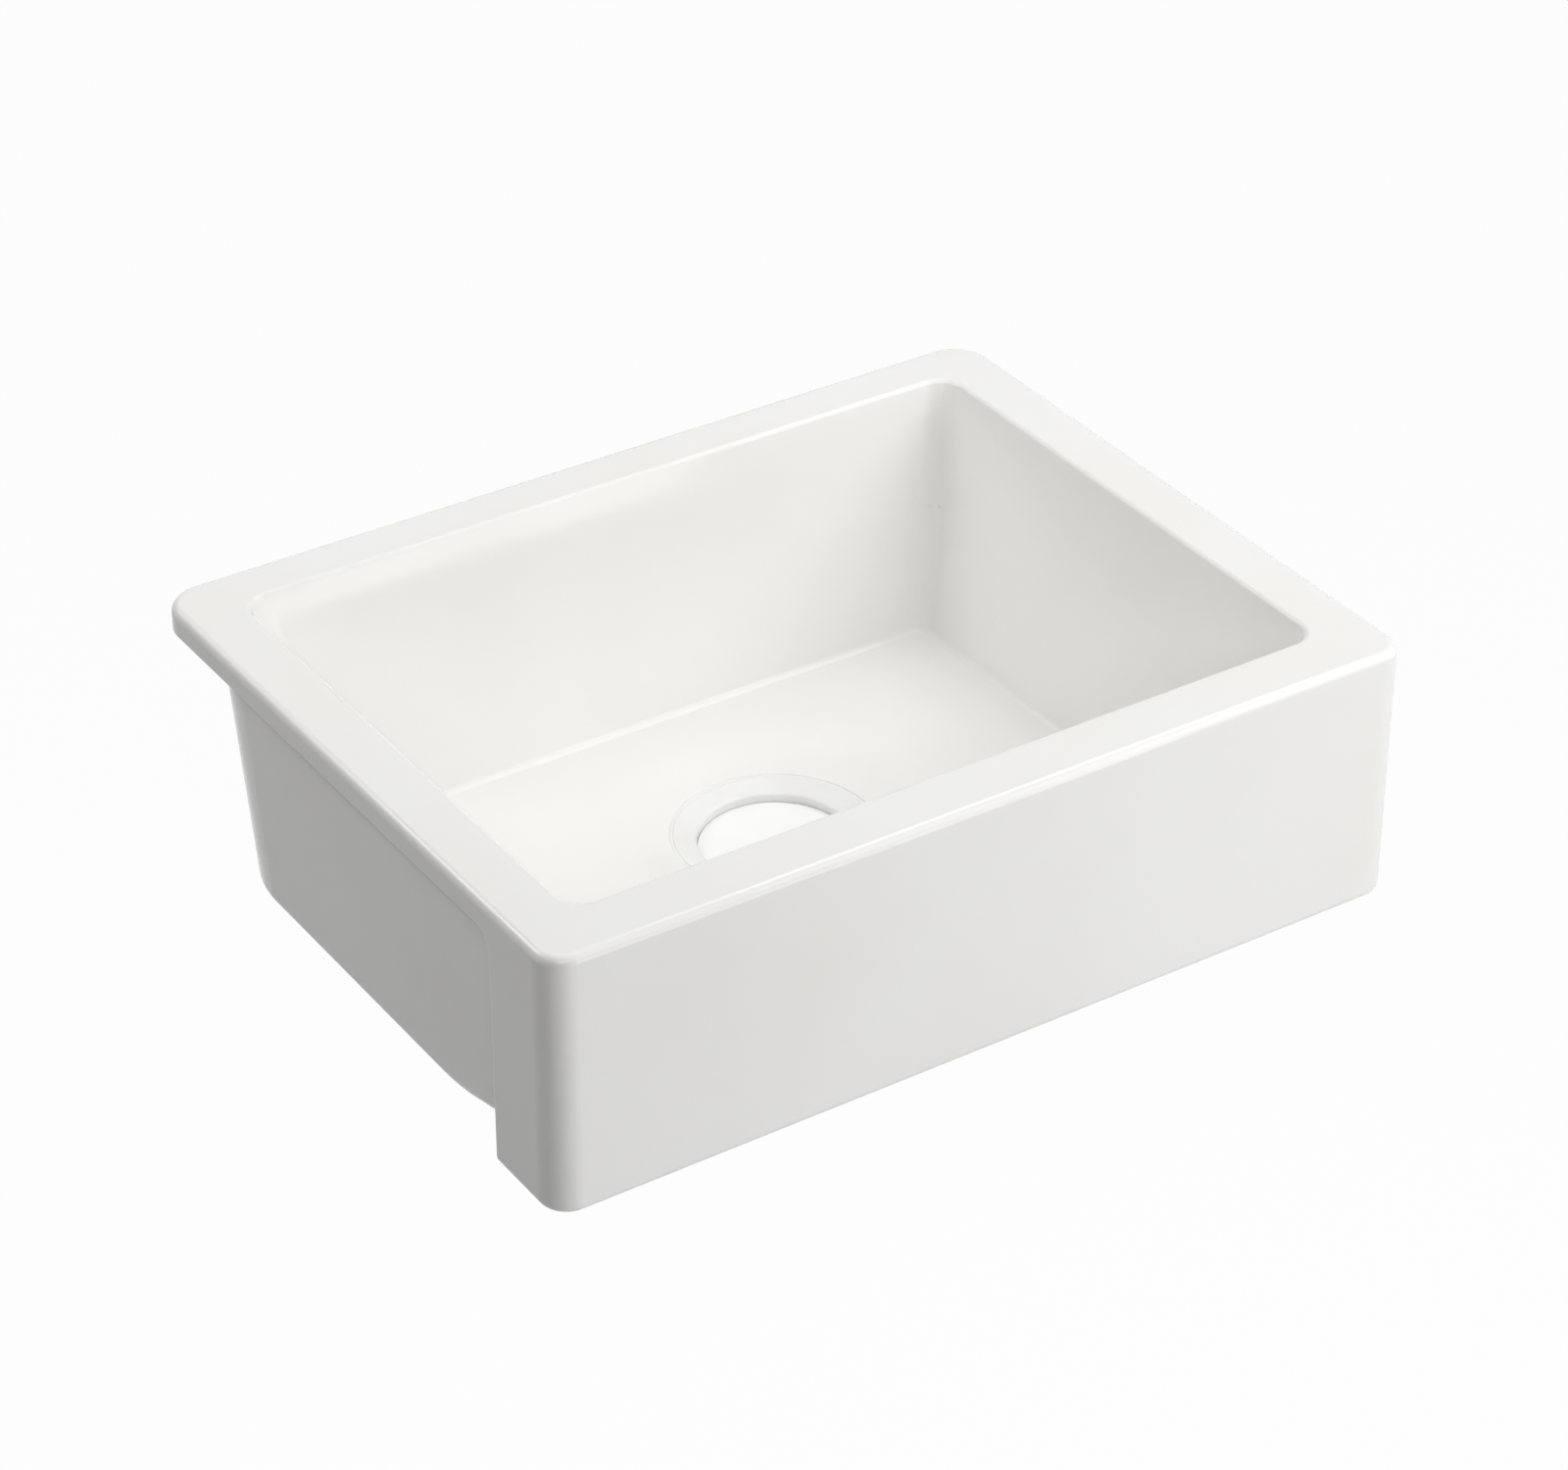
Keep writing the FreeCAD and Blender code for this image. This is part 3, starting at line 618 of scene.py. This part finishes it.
@dataclass(frozen=True)
class Softbox:
    """One soft lamp of the studio, placed by its angles as seen from the sink.

    The azimuth is 0 in front of the apron and 90 at the right end of the sink.
    """

    name: str
    azimuth: float
    elevation: float
    power: float
    size: float = 1.3
    distance: float = 3.0

    def build(self, target: Vector) -> None:
        """Make the lamp and turn it to its target.

        Args:
            target: Point that the lamp shines at.
        """
        lamp = bpy.data.lights.new(self.name, "AREA")
        lamp.shape = "SQUARE"
        lamp.size = self.size
        lamp.energy = self.power
        holder = bpy.data.objects.new(self.name, lamp)
        direction = self._direction()
        holder.location = target + direction * self.distance
        holder.rotation_euler = (-direction).to_track_quat("-Z", "Y").to_euler()
        bpy.context.scene.collection.objects.link(holder)

    def _direction(self) -> Vector:
        """Work out the direction from the sink to the lamp.

        Returns:
            A vector of length 1.
        """
        turn = math.radians(self.azimuth)
        rise = math.radians(self.elevation)
        level = math.cos(rise)
        return Vector((math.sin(turn) * level, -math.cos(turn) * level, math.sin(rise)))


@dataclass
class Studio:
    """Camera, floor, surroundings and lamps."""

    eye: Point = (-1.3883, -2.1185, 1.5742)
    azimuth: float = -33.36
    elevation: float = 32.96
    roll: float = 0.12
    focal_pixels: float = 4868.0
    image_width: float = 1600.0
    sensor_width: float = 36.0
    floor_height: float = -0.9
    floor_half_width: float = 12.0
    floor_colour: Colour = (0.7, 0.7, 0.7, 1.0)
    floor_glow: float = 0.97
    sky_colour: Colour = (1.0, 1.0, 1.0, 1.0)
    sky_strength: float = 0.02
    aim: Point = (0.0, 0.0, -0.05)
    softboxes: Sequence[Softbox] = (
        Softbox("front_left", 330.0, 35.0, 22.9),
        Softbox("front_right", 30.0, 35.0, 12.4),
        Softbox("right", 60.0, 35.0, 18.1),
        Softbox("back", 210.0, 35.0, 10.7),
        Softbox("near_right", 38.2, 17.2, 4.8, size=0.7, distance=1.86),
        Softbox("near_low", 20.6, -5.0, 6.3, size=0.7, distance=1.72),
        Softbox("near_top", 0.0, 90.0, 2.9, size=0.9, distance=1.55),
        Softbox("near_top_right", 100.0, 59.4, 7.2, size=0.7, distance=1.57),
        Softbox("near_back_left", 225.0, 47.8, 7.3, size=0.7, distance=1.69),
    )

    def build(self) -> None:
        """Make everything in the studio."""
        self._camera()
        self._floor()
        self._sky()
        target = Vector(self.aim)
        for softbox in self.softboxes:
            softbox.build(target)
            LOG.info("softbox %s", softbox.name)
        bpy.context.scene.view_settings.view_transform = "Standard"

    def _camera(self) -> None:
        """Make the camera at the photograph's place and angle."""
        lens = bpy.data.cameras.new("photo_camera")
        lens.sensor_fit = "HORIZONTAL"
        lens.sensor_width = self.sensor_width
        lens.lens = self.sensor_width * self.focal_pixels / self.image_width
        camera = bpy.data.objects.new("photo_camera", lens)
        camera.location = self.eye
        turn = Euler((math.radians(90 - self.elevation), 0, math.radians(self.azimuth)))
        roll = Euler((0, 0, math.radians(self.roll)))
        camera.rotation_euler = (turn.to_matrix() @ roll.to_matrix()).to_euler()
        bpy.context.scene.collection.objects.link(camera)
        bpy.context.scene.camera = camera

    def _floor(self) -> None:
        """Make the pale floor, a worktop's height below the sink."""
        reach = self.floor_half_width
        corners = [(-reach, -reach), (reach, -reach), (reach, reach), (-reach, reach)]
        mesh = bpy.data.meshes.new("floor")
        mesh.from_pydata([(x, y, self.floor_height) for x, y in corners], [], [(0, 1, 2, 3)])
        floor = bpy.data.objects.new("floor", mesh)
        bpy.context.scene.collection.objects.link(floor)
        mesh.materials.append(self._floor_material())

    def _floor_material(self) -> bpy.types.Material:
        """Make the floor's material, which looks white and still takes the shadow.

        Returns:
            The material.
        """
        material = bpy.data.materials.new("floor")
        material.use_nodes = True
        material.node_tree.nodes.clear()
        build = ShaderBuilder(material.node_tree)
        paint = build.add("ShaderNodeBsdfDiffuse")
        paint.inputs["Color"].default_value = self.floor_colour
        glow = build.add("ShaderNodeEmission")
        blend = build.add("ShaderNodeMixShader")
        share = build.math("MULTIPLY", seen_directly(build), self.floor_glow)
        build.join(share, blend.inputs["Fac"])
        build.join(paint.outputs[0], blend.inputs[1])
        build.join(glow.outputs[0], blend.inputs[2])
        build.join(blend.outputs[0], build.add("ShaderNodeOutputMaterial").inputs["Surface"])
        return material

    def _sky(self) -> None:
        """Make the surroundings: white where they are seen, dim where they only give light."""
        world = bpy.data.worlds.new("studio")
        bpy.context.scene.world = world
        world.use_nodes = True
        build = ShaderBuilder(world.node_tree)
        background = world.node_tree.nodes["Background"]
        background.inputs["Color"].default_value = self.sky_colour
        strength = build.spread(seen_directly(build), 0.0, 1.0, self.sky_strength, 1.0)
        build.join(strength, background.inputs["Strength"])


def seen_directly(build: ShaderBuilder) -> bpy.types.NodeSocket:
    """Find the rays that show a surface to the camera, straight, mirrored or through glass.

    Args:
        build: Builder of the material or the world.

    Returns:
        The mask, 1 for these rays.
    """
    path = build.add("ShaderNodeLightPath")
    mirrored = build.math("MAXIMUM", path.outputs["Is Glossy Ray"], path.outputs["Is Transmission Ray"])
    return build.math("MAXIMUM", path.outputs["Is Camera Ray"], mirrored)


def main() -> None:
    """Dress the sink and set up the studio."""
    logging.basicConfig(level=logging.INFO, format="%(name)s: %(message)s")
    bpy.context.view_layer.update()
    groups = ShaderGroups()
    steel = SteelFinish().build(groups)
    white_plastic = WHITE_PLASTIC.build(groups)
    grey_plastic = GREY_PLASTIC.build(groups)
    rubber = BLACK_RUBBER.build(groups)
    assemblies = (
        Dressing("bowl", {"fireclay_bowl": GlazeFinish().build(groups)}),
        Dressing("strainer", {
            "flange_seal": WHITE_SILICONE.build(groups),
            "strainer_body": white_plastic,
            "under_gasket": rubber,
            "friction_ring": RED_FIBRE.build(groups),
            "lock_nut": grey_plastic,
        }),
        Dressing("outlet", {
            "outlet_washer": rubber,
            "tailpiece": grey_plastic,
            "coupling_nut": grey_plastic,
        }),
        Dressing("basket", {
            "basket_shell": steel,
            "basket_bush": white_plastic,
            "lift_stem": steel,
            "lift_knob": white_plastic,
            "drain_cover": COVER_PLASTIC.build(groups),
            "stopper_plate": steel,
            "stopper_seal": rubber,
            "stem_screw": steel,
        }),
    )
    for assembly in assemblies:
        assembly.dress(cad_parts)
    Studio().build()


if __name__ == "__main__":
    main()
